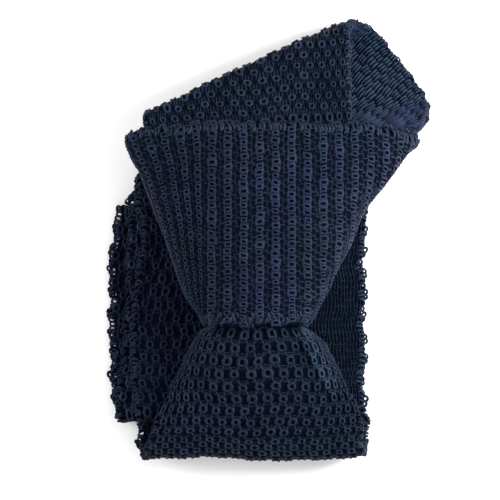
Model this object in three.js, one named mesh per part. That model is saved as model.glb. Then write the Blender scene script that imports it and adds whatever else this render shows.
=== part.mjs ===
// Knit tie, tied and folded into a flat bundle that lies on its back, the knot facing up.
// Millimetres. +X runs across the blade, +Y from the lower fold to the neck band, +Z up.
import * as THREE from 'three';

// Named sizes
const clothThickness = 2.6;
const bladeWidth = 55;
const knotTopWidth = 70.7;
const knotLength = 44.7;
const knotDepth = 19;
const neckRollLow = 4.7;
const neckRollHigh = 2.3;
const lowerRoll = 4.2;
const tailWidth = 20;
const lapGap = 0.4;
const fitGap = 0.3;

// Shares of the named sizes
const knotTopShare = 0.443;
const neckWidthShare = 0.89;
const neckRollShare = 0.955;
const lowerRollShare = 0.928;
const upperFoldShare = 0.296;
const innerFoldShare = 0.783;
const tailMiddleShare = 0.045;
const tailFootShare = 0.72;
const coreTopShare = 0.165;
const rimShare = 0.3;
const rollRiseShare = 0.6;

// Shape of the knot's section, the turn of level rows and of the neck band's rows
const sectionPower = 2.5;
const degree = Math.PI / 180;
const levelCurl = 30;
const neckCurl = 60;

// Values worked out from them
const halfCloth = clothThickness / 2;
const lapRise = clothThickness + lapGap;
const foldRadius = lapRise / 2;
const stackTop = 3 * clothThickness + 2 * lapGap;
const knotBack = stackTop + fitGap;
const knotTopY = knotTopShare * bladeWidth;
const knotFootY = knotTopY - knotLength;
const footHeight = stackTop + fitGap + halfCloth;
const rollY = lowerRoll - lowerRollShare * bladeWidth;

// Knot wrap, top to foot. down: share of the knot length. left, right, bow: shares of the top
// width. depth: share of the knot depth. The bow lifts the face's edge above the sides.
const knotSections = [
  { down: 0.0, left: -0.49, right: 0.51, depth: 1.0, bow: 0.045 },
  { down: 0.064, left: -0.483, right: 0.47, depth: 1.0, bow: 0.043 },
  { down: 0.198, left: -0.436, right: 0.409, depth: 0.98, bow: 0.036 },
  { down: 0.385, left: -0.392, right: 0.324, depth: 0.95, bow: 0.026 },
  { down: 0.561, left: -0.351, right: 0.277, depth: 0.92, bow: 0.016 },
  { down: 0.706, left: -0.321, right: 0.23, depth: 0.88, bow: 0.008 },
  { down: 0.829, left: -0.291, right: 0.193, depth: 0.85, bow: 0.002 },
  { down: 0.93, left: -0.25, right: 0.16, depth: 0.82, bow: 0.0 },
  { down: 1.0, left: -0.23, right: 0.136, depth: 0.8, bow: 0.0 },
];

// Neck band, from inside the knot over the diagonal roll and back. Places are shares of the
// blade width. Heights are shares of the knot depth over the table, arch too.
const neckFront = [
  { leftX: -0.49, leftY: 0.37, rightX: 0.361, rightY: 0.391, leftZ: 1.04, rightZ: 1.16, arch: 0.11 },
  { leftX: -0.515, leftY: 0.46, rightX: 0.35, rightY: 0.535, leftZ: 1.06, rightZ: 1.17, arch: 0.11 },
];
// Left and right end of the roll's axis, the drift along it and the angle where the turn starts.
const neckRollEnds = [
  { x: -0.545, y: 0.489, drift: 0.05, start: 5 },
  { x: 0.342, y: 0.861, drift: 0.13, start: 35 },
];
const neckBack = [
  { leftX: -0.481, leftY: 0.508, rightX: 0.5, rightY: 0.861, leftZ: 0.835, rightZ: 0.075, arch: -0.01 },
  { leftX: -0.467, leftY: 0.492, rightX: 0.585, rightY: 0.765, leftZ: 0.836, rightZ: 0.14, arch: -0.04 },
  { leftX: -0.452, leftY: 0.476, rightX: 0.648, rightY: 0.67, leftZ: 0.837, rightZ: 0.27, arch: -0.08 },
  { leftX: -0.438, leftY: 0.462, rightX: 0.685, rightY: 0.58, leftZ: 0.838, rightZ: 0.46, arch: -0.12 },
  { leftX: -0.424, leftY: 0.448, rightX: 0.687, rightY: 0.525, leftZ: 0.839, rightZ: 0.66, arch: -0.15 },
  { leftX: -0.41, leftY: 0.434, rightX: 0.643, rightY: 0.485, leftZ: 0.84, rightZ: 0.84, arch: -0.17 },
  { leftX: -0.396, leftY: 0.42, rightX: 0.575, rightY: 0.455, leftZ: 0.84, rightZ: 0.93, arch: -0.18 },
  { leftX: -0.378, leftY: 0.402, rightX: 0.515, rightY: 0.425, leftZ: 0.84, rightZ: 0.93, arch: -0.18 },
  { leftX: -0.36, leftY: 0.384, rightX: 0.46, rightY: 0.395, leftZ: 0.84, rightZ: 0.9, arch: -0.18 },
];

// Front lap of the blade, knot to lower fold: an arch that flattens as it widens.
// down: share of the way from the knot's foot to the lower roll. left, right, arch: shares of the
// blade width. curl: half angle of the arch in degrees.
const frontLap = [
  { down: -0.226, left: -0.2, right: 0.085, arch: 0.17, curl: 88 },
  { down: -0.037, left: -0.2, right: 0.095, arch: 0.172, curl: 88 },
  { down: 0.055, left: -0.27, right: 0.165, arch: 0.174, curl: 88 },
  { down: 0.181, left: -0.326, right: 0.222, arch: 0.155, curl: 84 },
  { down: 0.424, left: -0.378, right: 0.283, arch: 0.113, curl: 75 },
  { down: 0.64, left: -0.439, right: 0.352, arch: 0.076, curl: 64 },
  { down: 0.812, left: -0.491, right: 0.387, arch: 0.047, curl: 50 },
  { down: 0.965, left: -0.522, right: 0.404, arch: 0.022, curl: 36 },
];
const rollEdges = { left: -0.572, right: 0.432 };

// The three laps behind it, top one first: edges at places along the blade.
const upperLap = [
  { y: -0.696, left: -0.591, right: 0.409 },
  { y: -0.509, left: -0.609, right: 0.409 },
  { y: -0.217, left: -0.591, right: 0.409 },
  { y: -0.013, left: -0.557, right: 0.409 },
  { y: 0.174, left: -0.583, right: 0.417 },
  { y: 0.245, left: -0.578, right: 0.422 },
];
const middleLap = [
  { y: 0.245, left: -0.583, right: 0.4 },
  { y: 0.135, left: -0.617, right: 0.374 },
  { y: 0.0, left: -0.62, right: 0.374 },
  { y: -0.26, left: -0.626, right: 0.365 },
  { y: -0.509, left: -0.648, right: 0.348 },
  { y: -0.732, left: -0.67, right: 0.33 },
];
const lowerLap = [
  { y: -0.732, left: -0.67, right: 0.33 },
  { y: -0.609, left: -0.691, right: 0.309 },
  { y: -0.217, left: -0.7, right: 0.3 },
  { y: -0.043, left: -0.691, right: 0.309 },
  { y: 0.109, left: -0.674, right: 0.326 },
  { y: 0.157, left: -0.668, right: 0.33 },
];

const mix = (from, to, share) => from + (to - from) * share;
const ease = (share) => {
  const held = Math.min(Math.max(share, 0), 1);
  return held * held * (3 - 2 * held);
};

// Smooth value of one column of a table at a place given by row number.
function columnAt(rows, place, column) {
  const last = rows.length - 1;
  const row = Math.min(Math.floor(place), last - 1);
  const part = place - row;
  const before = rows[Math.max(row - 1, 0)][column];
  const from = rows[row][column];
  const to = rows[row + 1][column];
  const after = rows[Math.min(row + 2, last)][column];
  const slopeFrom = (to - before) / 2;
  const slopeTo = (after - from) / 2;
  const square = part * part;
  const cube = square * part;
  return from * (2 * cube - 3 * square + 1) + slopeFrom * (cube - 2 * square + part)
    + to * (3 * square - 2 * cube) + slopeTo * (cube - square);
}

function rowAt(rows, place) {
  const entries = Object.keys(rows[0]).map((column) => [column, columnAt(rows, place, column)]);
  return Object.fromEntries(entries);
}

// Outline of the knot wrap at a place down its length.
function knotSection(down) {
  const held = Math.min(Math.max(down, 0), 1);
  const next = Math.max(knotSections.findIndex((section) => section.down >= held), 1);
  const from = knotSections[next - 1];
  const to = knotSections[next];
  const row = rowAt(knotSections, next - 1 + (held - from.down) / (to.down - from.down));
  return {
    y: knotTopY - held * knotLength,
    middle: knotTopWidth * (row.left + row.right) / 2,
    halfWidth: knotTopWidth * (row.right - row.left) / 2,
    halfDepth: knotDepth * row.depth / 2,
    bow: knotTopWidth * row.bow,
  };
}

// Point of the knot section, drawn in from the outline by an inset.
function knotPoint(section, angle, inset) {
  const wide = Math.cos(angle);
  const high = Math.sin(angle);
  const power = 2 / sectionPower;
  return new THREE.Vector3(
    section.middle + Math.sign(wide) * (section.halfWidth - inset) * Math.abs(wide) ** power,
    section.y + section.bow * high,
    knotBack + section.halfDepth + Math.sign(high) * (section.halfDepth - inset) * Math.abs(high) ** power,
  );
}

// Holds a point of the cloth's middle inside the knot wrap, with the fit gap to its wall and clear
// of the tight ends of its section.
function tuckIntoKnot(point) {
  const inset = clothThickness + fitGap + halfCloth;
  const sideLimit = 0.98;
  const beside = knotSection((knotTopY - point.y) / knotLength);
  const tilt = Math.max(Math.min((point.z - knotBack) / beside.halfDepth - 1, 1), -1);
  const above = point.y - knotTopY - beside.bow * tilt - fitGap;
  const below = knotFootY - fitGap - point.y;
  const reach = ease(1 - above / clothThickness) * ease(1 - below / clothThickness);
  const section = knotSection((knotTopY - point.y + beside.bow * tilt) / knotLength);
  const roomX = section.halfWidth - inset;
  const roomZ = section.halfDepth - inset;
  const middleZ = knotBack + section.halfDepth;
  const beyond = (point.x - section.middle) / roomX;
  const aside = Math.min(Math.max(beyond, -sideLimit), sideLimit);
  const height = roomZ * (1 - Math.abs(aside) ** sectionPower) ** (1 / sectionPower);
  const heldZ = Math.min(Math.max(point.z, middleZ - height), middleZ + height);
  return new THREE.Vector3(
    mix(point.x, section.middle + aside * roomX, reach),
    point.y,
    mix(point.z, heldZ, reach),
  );
}

// Closed body from loops of points, joined one to the next. A ring joins its last loop to the
// first, and any other body has a cap on both end loops.
function loopBody(loops, ring) {
  const count = loops[0].length;
  const positions = loops.flat().flatMap((point) => [point.x, point.y, point.z]);
  const index = [];
  const bands = ring ? loops.length : loops.length - 1;
  for (let row = 0; row < bands; row += 1) {
    const start = row * count;
    const nextStart = ((row + 1) % loops.length) * count;
    for (let place = 0; place < count; place += 1) {
      const next = (place + 1) % count;
      index.push(start + place, start + next, nextStart + next);
      index.push(start + place, nextStart + next, nextStart + place);
    }
  }
  if (!ring) {
    capAcross(index, 0, count, false);
    capAcross(index, (loops.length - 1) * count, count, true);
  }
  return faceOut(positions, index);
}

// Cap of a loop that runs out on one face and back on the other.
function capAcross(index, start, count, flip) {
  const half = count / 2;
  for (let place = 0; place < half; place += 1) {
    const near = start + place;
    const far = start + place + 1;
    const farBack = start + count - 1 - place;
    const nearBack = start + (count - place) % count;
    const corners = flip ? [near, far, farBack, nearBack] : [nearBack, farBack, far, near];
    if (corners[0] !== corners[3]) index.push(corners[0], corners[2], corners[3]);
    if (corners[1] !== corners[2]) index.push(corners[0], corners[1], corners[2]);
  }
}

function faceOut(positions, index) {
  let volume = 0;
  const corner = (number) => new THREE.Vector3().fromArray(positions, 3 * number);
  for (let place = 0; place < index.length; place += 3) {
    volume += corner(index[place]).dot(corner(index[place + 1]).cross(corner(index[place + 2])));
  }
  if (volume < 0) index.reverse();
  const geometry = new THREE.BufferGeometry();
  geometry.setAttribute('position', new THREE.Float32BufferAttribute(positions, 3));
  geometry.setIndex(index);
  geometry.computeVertexNormals();
  return geometry;
}

// Places across a strip of cloth, with the share of the half thickness that each one has:
// both edges are rounded over half the thickness.
function acrossPlaces(width, steps) {
  const edge = [0, 45, 90].map((turn) => {
    const inset = halfCloth * (1 - Math.cos(turn * degree));
    return [inset / width, Math.sin(turn * degree)];
  });
  const rounded = halfCloth / width;
  const inner = [];
  for (let step = 1; step < steps; step += 1) {
    inner.push([mix(rounded, 1 - rounded, step / steps), 1]);
  }
  const otherEdge = edge.map(([share, lift]) => [1 - share, lift]).reverse();
  return [...edge, ...inner, ...otherEdge];
}

// Point of a row's section: a straight line, or an arch over it.
function acrossRow(row, share) {
  const curl = row.curl * degree;
  const angle = (2 * share - 1) * curl;
  const along = (Math.sin(angle) / Math.sin(curl) + 1) / 2;
  const point = row.leftPoint.clone().lerp(row.rightPoint, along);
  point.z += row.arch * (Math.cos(angle) - Math.cos(curl)) / (1 - Math.cos(curl));
  return point;
}

// Closed body of a strip of cloth from its rows.
function clothBody(rows, width, steps, place) {
  const across = acrossPlaces(width, steps);
  const middle = rows.map((row) => across.map(([share]) => place(acrossRow(row, share))));
  const last = across.length - 1;
  const loops = middle.map((points, row) => {
    const faces = points.map((point, number) => {
      const before = middle[Math.max(row - 1, 0)][number];
      const after = middle[Math.min(row + 1, middle.length - 1)][number];
      const into = point.clone().sub(before).normalize();
      const out = after.clone().sub(point).normalize();
      const along = into.add(out).normalize();
      const wide = points[Math.min(number + 1, last)].clone().sub(points[Math.max(number - 1, 0)]);
      const normal = wide.cross(along).normalize();
      return normal.multiplyScalar(halfCloth * across[number][1]);
    });
    const top = points.map((point, number) => point.clone().add(faces[number]));
    const under = points.map((point, number) => point.clone().sub(faces[number]));
    return [...top, ...under.slice(1, last).reverse()];
  });
  return loopBody(loops, false);
}

// Hollow sleeve: outer and inner skins with a rim at each end.
function sleeveBody(sections, around) {
  const skin = (inset, section) => {
    const loop = [];
    for (let step = 0; step < around; step += 1) {
      loop.push(knotPoint(section, 2 * Math.PI * step / around, inset));
    }
    return loop;
  };
  const rim = rimShare * clothThickness;
  const first = sections[0];
  const foot = sections[sections.length - 1];
  const shifted = (section, inset, shift) => skin(inset, { ...section, y: section.y + shift });
  const outer = sections.slice(1, -1).map((section) => skin(0, section));
  const inner = sections.slice(1, -1).map((section) => skin(clothThickness, section)).reverse();
  const loops = [
    shifted(first, 0, -rim), ...outer, shifted(foot, 0, rim), shifted(foot, rim, 0),
    shifted(foot, clothThickness - rim, 0), shifted(foot, clothThickness, rim),
    ...inner, shifted(first, clothThickness, -rim), shifted(first, clothThickness - rim, 0),
    shifted(first, rim, 0),
  ];
  return loopBody(loops, true);
}

// Place along the front lap, from the knot's foot to the lower roll.
const frontY = (down) => mix(knotFootY, rollY, down);

function knotWrap() {
  const sections = [];
  const steps = 14;
  const around = 44;
  for (let step = 0; step <= steps; step += 1) {
    sections.push(knotSection(step / steps));
  }
  return sleeveBody(sections, around);
}

// Inner turns of the knot, filling the wrap between the neck band's ends and the blade.
function knotCore() {
  const loops = [];
  const steps = 8;
  const around = 28;
  const bladeStart = frontY(frontLap[0].down) + 2 * fitGap;
  const footShare = (knotTopY - bladeStart) / knotLength;
  for (let step = 0; step <= steps; step += 1) {
    const section = knotSection(mix(coreTopShare, footShare, step / steps));
    const pinch = step === 0 || step === steps ? halfCloth : 0;
    const loop = [];
    for (let turn = 0; turn < around; turn += 1) {
      loop.push(knotPoint(section, 2 * Math.PI * turn / around, clothThickness + fitGap + pinch));
    }
    loops.push(loop);
  }
  return loopBody(loops, false);
}

function lineRow(leftX, leftY, leftZ, rightX, rightY, rightZ, arch, curl) {
  return {
    leftPoint: new THREE.Vector3(leftX, leftY, leftZ),
    rightPoint: new THREE.Vector3(rightX, rightY, rightZ),
    arch,
    curl,
  };
}

const levelRow = (left, right, y, z) => lineRow(left, y, z, right, y, z, 0, levelCurl);

function neckRow(row) {
  return lineRow(
    row.leftX * bladeWidth, row.leftY * bladeWidth, row.leftZ * knotDepth,
    row.rightX * bladeWidth, row.rightY * bladeWidth, row.rightZ * knotDepth,
    row.arch * knotDepth, neckCurl,
  );
}

// Rows of the diagonal roll: each edge turns about its own end of the axis.
function neckRollRows(steps) {
  const heights = [neckRollShare * knotDepth, neckRollLow + halfCloth];
  const radii = [neckRollHigh, neckRollLow];
  const ends = neckRollEnds.map((end, side) => (
    new THREE.Vector3(end.x * bladeWidth, end.y * bladeWidth, heights[side])
  ));
  const crease = ends[1].clone().sub(ends[0]).setZ(0).normalize();
  const outward = new THREE.Vector3(-crease.y, crease.x, 0);
  const turned = (side, share) => {
    const { drift, start } = neckRollEnds[side];
    const angle = mix(start, 180, share) * degree;
    const point = ends[side].clone().addScaledVector(crease, drift * bladeWidth * angle / Math.PI);
    point.addScaledVector(outward, radii[side] * Math.sin(angle));
    point.z += radii[side] * Math.cos(angle);
    return point;
  };
  const rows = [];
  for (let step = 0; step <= steps; step += 1) {
    const share = step / steps;
    rows.push({ leftPoint: turned(0, share), rightPoint: turned(1, share), arch: 0, curl: neckCurl });
  }
  return rows;
}

function neckBand() {
  const rows = [];
  const front = neckFront.map(neckRow);
  const roll = neckRollRows(8);
  const back = neckBack.map(neckRow);
  const between = (from, to, steps) => {
    for (let step = 1; step < steps; step += 1) {
      const share = step / steps;
      rows.push({
        leftPoint: from.leftPoint.clone().lerp(to.leftPoint, share),
        rightPoint: from.rightPoint.clone().lerp(to.rightPoint, share),
        arch: mix(from.arch, to.arch, share),
        curl: neckCurl,
      });
    }
  };
  rows.push(front[0]);
  between(front[0], front[1], 2);
  rows.push(front[1]);
  between(front[1], roll[0], 4);
  rows.push(...roll);
  const ending = [roll[roll.length - 1], ...back];
  const leftCurve = new THREE.CatmullRomCurve3(ending.map((row) => row.leftPoint));
  const rightCurve = new THREE.CatmullRomCurve3(ending.map((row) => row.rightPoint));
  const archTable = ending.map((row) => ({ arch: row.arch }));
  const steps = Math.round(1.5 * back.length);
  for (let step = 1; step <= steps; step += 1) {
    const share = step / steps;
    rows.push({
      leftPoint: leftCurve.getPoint(share),
      rightPoint: rightCurve.getPoint(share),
      arch: columnAt(archTable, share * back.length, 'arch'),
      curl: neckCurl,
    });
  }
  return clothBody(rows, neckWidthShare * bladeWidth, 12, tuckIntoKnot);
}

// Rows of a level lap: table rows at a height.
function lapRows(table, height, samples) {
  const rows = [];
  for (let sample = 0; sample <= samples; sample += 1) {
    const row = rowAt(table, (table.length - 1) * sample / samples);
    rows.push(levelRow(row.left * bladeWidth, row.right * bladeWidth, row.y * bladeWidth, height));
  }
  return rows;
}

// Rows of a fold: half a turn, or part of one, about a line across the blade.
function foldRows(centreY, centreZ, radius, side, fromAngle, toAngle, from, to, steps) {
  const rows = [];
  for (let step = 0; step <= steps; step += 1) {
    const share = step / steps;
    const angle = mix(fromAngle, toAngle, share) * degree;
    const y = centreY + side * radius * Math.cos(angle);
    const z = centreZ + radius * Math.sin(angle);
    const left = mix(from.left, to.left, share) * bladeWidth;
    const right = mix(from.right, to.right, share) * bladeWidth;
    rows.push(levelRow(left, right, y, z));
  }
  return rows;
}

function frontBlade() {
  const level = (number) => halfCloth + number * lapRise;
  const front = [];
  const samples = 2 * (frontLap.length - 1);
  for (let sample = 0; sample <= samples; sample += 1) {
    const row = rowAt(frontLap, (frontLap.length - 1) * sample / samples);
    const y = frontY(row.down);
    front.push(lineRow(
      row.left * bladeWidth, y, footHeight, row.right * bladeWidth, y, footHeight,
      row.arch * bladeWidth, row.curl,
    ));
  }
  const frontEnd = frontLap[frontLap.length - 1];
  const rollTop = footHeight + rollRiseShare * frontEnd.arch * bladeWidth;
  const lower = foldRows(rollY, rollTop - lowerRoll, lowerRoll, -1, 80, -75, frontEnd, rollEdges, 9);
  const innerY = foldRadius + halfCloth - innerFoldShare * bladeWidth;
  const climbRadius = foldRadius + lapRise;
  const climb = foldRows(innerY, level(0.5), climbRadius, -1, 36, 90, rollEdges, upperLap[0], 3);
  const upperY = upperFoldShare * bladeWidth - foldRadius - halfCloth;
  const over = (from, to) => foldRows(upperY, level(1.5), foldRadius, 1, 90, -90, from, to, 6);
  const under = (from, to) => foldRows(innerY, level(0.5), foldRadius, -1, 90, -90, from, to, 6);
  const rows = [
    ...front,
    ...lower,
    ...climb,
    ...lapRows(upperLap, level(2), 8).slice(1, -1),
    ...over(upperLap[upperLap.length - 1], middleLap[0]),
    ...lapRows(middleLap, level(1), 8).slice(1, -1),
    ...under(middleLap[middleLap.length - 1], lowerLap[0]),
    ...lapRows(lowerLap, level(0), 8).slice(1),
  ];
  const tuckFront = (point) => (point.z > knotBack ? tuckIntoKnot(point) : point);
  return clothBody(rows, bladeWidth, 12, tuckFront);
}

// Narrow end behind the front lap, hidden, with a plain square end.
function tailEnd() {
  const rows = [];
  const startY = knotFootY - fitGap;
  const endY = -tailFootShare * bladeWidth;
  const middle = -tailMiddleShare * bladeWidth;
  const steps = 8;
  for (let step = 0; step <= steps; step += 1) {
    const share = step / steps;
    const y = mix(startY, endY, share);
    const half = tailWidth * mix(0.3, 0.5, ease(share * 3));
    rows.push(levelRow(middle - half, middle + half, y, footHeight));
  }
  return clothBody(rows, tailWidth, 5, (point) => point);
}

const knitMaterial = (color) => new THREE.MeshStandardMaterial({ color, roughness: 0.85, metalness: 0 });

const navy = '#1c2740';
const shadedNavy = '#161e33';
const pieces = [
  ['knot_wrap', knotWrap(), knitMaterial(navy)],
  ['knot_core', knotCore(), knitMaterial(shadedNavy)],
  ['neck_band', neckBand(), knitMaterial(navy)],
  ['front_blade', frontBlade(), knitMaterial(navy)],
  ['tail_end', tailEnd(), knitMaterial(shadedNavy)],
];

const tie = new THREE.Group();
tie.name = 'knit_tie';
const box = new THREE.Box3();
for (const [name, geometry, material] of pieces) {
  geometry.computeBoundingBox();
  box.union(geometry.boundingBox);
  const mesh = new THREE.Mesh(geometry, material);
  mesh.name = name;
  tie.add(mesh);
}
const centre = box.getCenter(new THREE.Vector3());
for (const mesh of tie.children) mesh.geometry.translate(-centre.x, -centre.y, -box.min.z);

export default tie;
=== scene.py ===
"""Knit tie, folded flat: the cloth's ground, its raised stitches and edge loops, and the photo's light."""
import math

import bpy
import numpy as np
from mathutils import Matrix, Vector


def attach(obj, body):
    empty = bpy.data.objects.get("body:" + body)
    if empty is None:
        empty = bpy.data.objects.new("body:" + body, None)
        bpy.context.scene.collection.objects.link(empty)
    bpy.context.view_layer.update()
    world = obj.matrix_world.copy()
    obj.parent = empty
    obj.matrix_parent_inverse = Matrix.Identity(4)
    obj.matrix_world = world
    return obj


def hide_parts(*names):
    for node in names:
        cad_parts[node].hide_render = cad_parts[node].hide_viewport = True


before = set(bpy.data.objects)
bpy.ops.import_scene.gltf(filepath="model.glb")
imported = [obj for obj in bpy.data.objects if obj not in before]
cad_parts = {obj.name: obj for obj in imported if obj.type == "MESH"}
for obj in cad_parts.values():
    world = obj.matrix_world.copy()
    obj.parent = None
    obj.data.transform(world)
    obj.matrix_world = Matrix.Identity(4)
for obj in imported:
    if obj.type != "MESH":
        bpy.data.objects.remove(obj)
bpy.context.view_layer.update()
rng = np.random.default_rng(7)

MM = 0.001
CLOTH = 2.6
BLADE = 55.0
NECK = 49.0
KNOT_TOP = 70.7
KNOT_LENGTH = 44.7
KNOT_DEPTH = 19.0
ROLL_LOW, ROLL_HIGH, LOWER_ROLL = 4.7, 2.3, 4.2
TAIL = 20.0
LAP_GAP, FIT = 0.4, 0.3
HALF = CLOTH / 2
LAP_RISE = CLOTH + LAP_GAP
FOLD = LAP_RISE / 2
STACK = 3 * CLOTH + 2 * LAP_GAP
KNOT_BACK = STACK + FIT
KNOT_TOP_Y = 0.443 * BLADE
POWER = 2.5
CENTRE = np.array([-0.261, 0.732, 0.0])
GROUND = 0.85

KNOT_ROWS = np.array([
    # down, left, right, depth, bow
    [0.0, -0.49, 0.51, 1.0, 0.045],
    [0.064, -0.483, 0.47, 1.0, 0.043],
    [0.198, -0.436, 0.409, 0.98, 0.036],
    [0.385, -0.392, 0.324, 0.95, 0.026],
    [0.561, -0.351, 0.277, 0.92, 0.016],
    [0.706, -0.321, 0.23, 0.88, 0.008],
    [0.829, -0.291, 0.193, 0.85, 0.002],
    [0.93, -0.25, 0.16, 0.82, 0.0],
    [1.0, -0.23, 0.136, 0.8, 0.0],
])
NECK_FRONT = np.array([
    # left x, left y, right x, right y, left z, right z, arch
    [-0.49, 0.37, 0.361, 0.391, 1.04, 1.16, 0.11],
    [-0.515, 0.46, 0.35, 0.535, 1.06, 1.17, 0.11],
])
NECK_BACK = np.array([
    [-0.481, 0.508, 0.5, 0.861, 0.835, 0.075, -0.01],
    [-0.467, 0.492, 0.585, 0.765, 0.836, 0.14, -0.04],
    [-0.452, 0.476, 0.648, 0.67, 0.837, 0.27, -0.08],
    [-0.438, 0.462, 0.685, 0.58, 0.838, 0.46, -0.12],
    [-0.424, 0.448, 0.687, 0.525, 0.839, 0.66, -0.15],
    [-0.41, 0.434, 0.643, 0.485, 0.84, 0.84, -0.17],
    [-0.396, 0.42, 0.575, 0.455, 0.84, 0.93, -0.18],
    [-0.378, 0.402, 0.515, 0.425, 0.84, 0.93, -0.18],
    [-0.36, 0.384, 0.46, 0.395, 0.84, 0.9, -0.18],
])
FRONT_LAP = np.array([
    # down, left, right, arch, curl
    [-0.226, -0.2, 0.085, 0.17, 88],
    [-0.037, -0.2, 0.095, 0.172, 88],
    [0.055, -0.27, 0.165, 0.174, 88],
    [0.181, -0.326, 0.222, 0.155, 84],
    [0.424, -0.378, 0.283, 0.113, 75],
    [0.64, -0.439, 0.352, 0.076, 64],
    [0.812, -0.491, 0.387, 0.047, 50],
    [0.965, -0.522, 0.404, 0.022, 36],
])
ROLL_Y = LOWER_ROLL - 0.928 * BLADE
KNOT_FOOT_Y = KNOT_TOP_Y - KNOT_LENGTH
UPPER_LAP = np.array([
    # y, left, right
    [-0.696, -0.591, 0.409],
    [-0.509, -0.609, 0.409],
    [-0.217, -0.591, 0.409],
    [-0.013, -0.557, 0.409],
    [0.174, -0.583, 0.417],
    [0.245, -0.578, 0.422],
])
MIDDLE_LAP = np.array([
    [0.245, -0.583, 0.4],
    [0.135, -0.617, 0.374],
    [0.0, -0.62, 0.374],
    [-0.26, -0.626, 0.365],
    [-0.509, -0.648, 0.348],
    [-0.732, -0.67, 0.33],
])
LOWER_LAP = np.array([
    [-0.732, -0.67, 0.33],
    [-0.609, -0.691, 0.309],
    [-0.217, -0.7, 0.3],
    [-0.043, -0.691, 0.309],
    [0.109, -0.674, 0.326],
    [0.157, -0.668, 0.33],
])


def smooth_rows(table, places):
    """Catmull-Rom rows of a table at fractional row numbers."""
    last = len(table) - 1
    places = np.clip(np.asarray(places, float), 0, last)
    row = np.minimum(places.astype(int), last - 1)
    t = (places - row)[:, None]
    p0, p1 = table[np.maximum(row - 1, 0)], table[row]
    p2, p3 = table[row + 1], table[np.minimum(row + 2, last)]
    m1, m2 = (p2 - p0) / 2, (p3 - p1) / 2
    return (p1 * (2 * t**3 - 3 * t**2 + 1) + m1 * (t**3 - 2 * t**2 + t)
            + p2 * (3 * t**2 - 2 * t**3) + m2 * (t**3 - t**2))


def ease(x):
    x = np.clip(x, 0, 1)
    return x * x * (3 - 2 * x)


def knot_section(down):
    """Middle, half width, half depth and bow of the knot wrap at places down its length."""
    down = np.clip(np.atleast_1d(down), 0, 1)
    rows = smooth_rows(KNOT_ROWS, np.interp(down, KNOT_ROWS[:, 0], np.arange(len(KNOT_ROWS))))
    return (KNOT_TOP * (rows[:, 1] + rows[:, 2]) / 2, KNOT_TOP * (rows[:, 2] - rows[:, 1]) / 2,
            KNOT_DEPTH * rows[:, 3] / 2, KNOT_TOP * rows[:, 4])


def tuck(points):
    """Holds points of the cloth's middle inside the knot wrap."""
    shape = points.shape
    p = points.reshape(-1, 3).copy()
    inset = CLOTH + FIT + HALF
    middle, wide, deep, bow = knot_section((KNOT_TOP_Y - p[:, 1]) / KNOT_LENGTH)
    tilt = np.clip((p[:, 2] - KNOT_BACK) / deep - 1, -1, 1)
    above = p[:, 1] - KNOT_TOP_Y - bow * tilt - FIT
    below = KNOT_TOP_Y - KNOT_LENGTH - FIT - p[:, 1]
    reach = ease(1 - above / CLOTH) * ease(1 - below / CLOTH)
    middle, wide, deep, _ = knot_section((KNOT_TOP_Y - p[:, 1] + bow * tilt) / KNOT_LENGTH)
    room_x, room_z, mid_z = wide - inset, deep - inset, KNOT_BACK + deep
    aside = np.clip((p[:, 0] - middle) / room_x, -0.98, 0.98)
    height = room_z * (1 - np.abs(aside) ** POWER) ** (1 / POWER)
    held = np.clip(p[:, 2], mid_z - height, mid_z + height)
    p[:, 0] += (middle + aside * room_x - p[:, 0]) * reach
    p[:, 2] += (held - p[:, 2]) * reach
    return p.reshape(shape)


def across_rows(left, right, arch, curl, shares):
    """Points across each row: a straight line, or an arch over it."""
    curl = np.radians(np.maximum(curl, 5))[:, None]
    angle = (2 * np.atleast_2d(shares) - 1) * curl
    along = ((np.sin(angle) / np.sin(curl) + 1) / 2)[..., None]
    points = left[:, None] * (1 - along) + right[:, None] * along
    points[..., 2] += arch[:, None] * (np.cos(angle) - np.cos(curl)) / (1 - np.cos(curl))
    return points


class Cloth:
    """Middle surface of a run of cloth, on a regular grid of run (mm) and share of the width."""

    def __init__(self, grid, run, width, step=0.5):
        count = int(np.nanmax(run) / step) + 1
        self.step, self.width = step, width
        self.length = (count - 1) * step
        runs = np.arange(count) * step
        places = np.full((count, grid.shape[1]), np.nan)
        for c in range(grid.shape[1]):
            inside = (runs >= run[0, c] - 1e-6) & (runs <= run[-1, c] + 1e-6)
            places[inside, c] = np.interp(runs[inside], run[:, c], np.arange(len(grid)))
        held = np.nan_to_num(places)
        row = np.minimum(held.astype(int), len(grid) - 2)
        part = (held - row)[..., None]
        cols = np.arange(grid.shape[1])[None]
        self.points = grid[row, cols] * (1 - part) + grid[row + 1, cols] * part
        across = np.gradient(grid, axis=1)
        along = np.gradient(grid, axis=0)
        normal = np.cross(across, along)
        normal /= np.linalg.norm(normal, axis=2, keepdims=True) + 1e-12
        self.normals = normal[row, cols] * (1 - part) + normal[row + 1, cols] * part
        self.points[np.isnan(places)] = np.nan

    def at(self, share, run, lift):
        """Points over the surface, for arrays of share, run and lift (mm)."""
        rows, cols = self.points.shape[:2]
        gi, gj = run / self.step, share * (cols - 1)
        i, j = np.clip(gi.astype(int), 0, rows - 2), np.clip(gj.astype(int), 0, cols - 2)
        fi, fj = (gi - i)[..., None], (gj - j)[..., None]

        def mixed(a):
            return ((a[i, j] * (1 - fj) + a[i, j + 1] * fj) * (1 - fi)
                    + (a[i + 1, j] * (1 - fj) + a[i + 1, j + 1] * fj) * fi)

        normal = mixed(self.normals)
        normal /= np.linalg.norm(normal, axis=-1, keepdims=True) + 1e-12
        return mixed(self.points) + normal * lift[..., None]


def run_lengths(grid):
    steps = np.linalg.norm(np.diff(grid, axis=0), axis=2)
    return np.vstack([np.zeros(grid.shape[1]), np.cumsum(steps, axis=0)])


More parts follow.
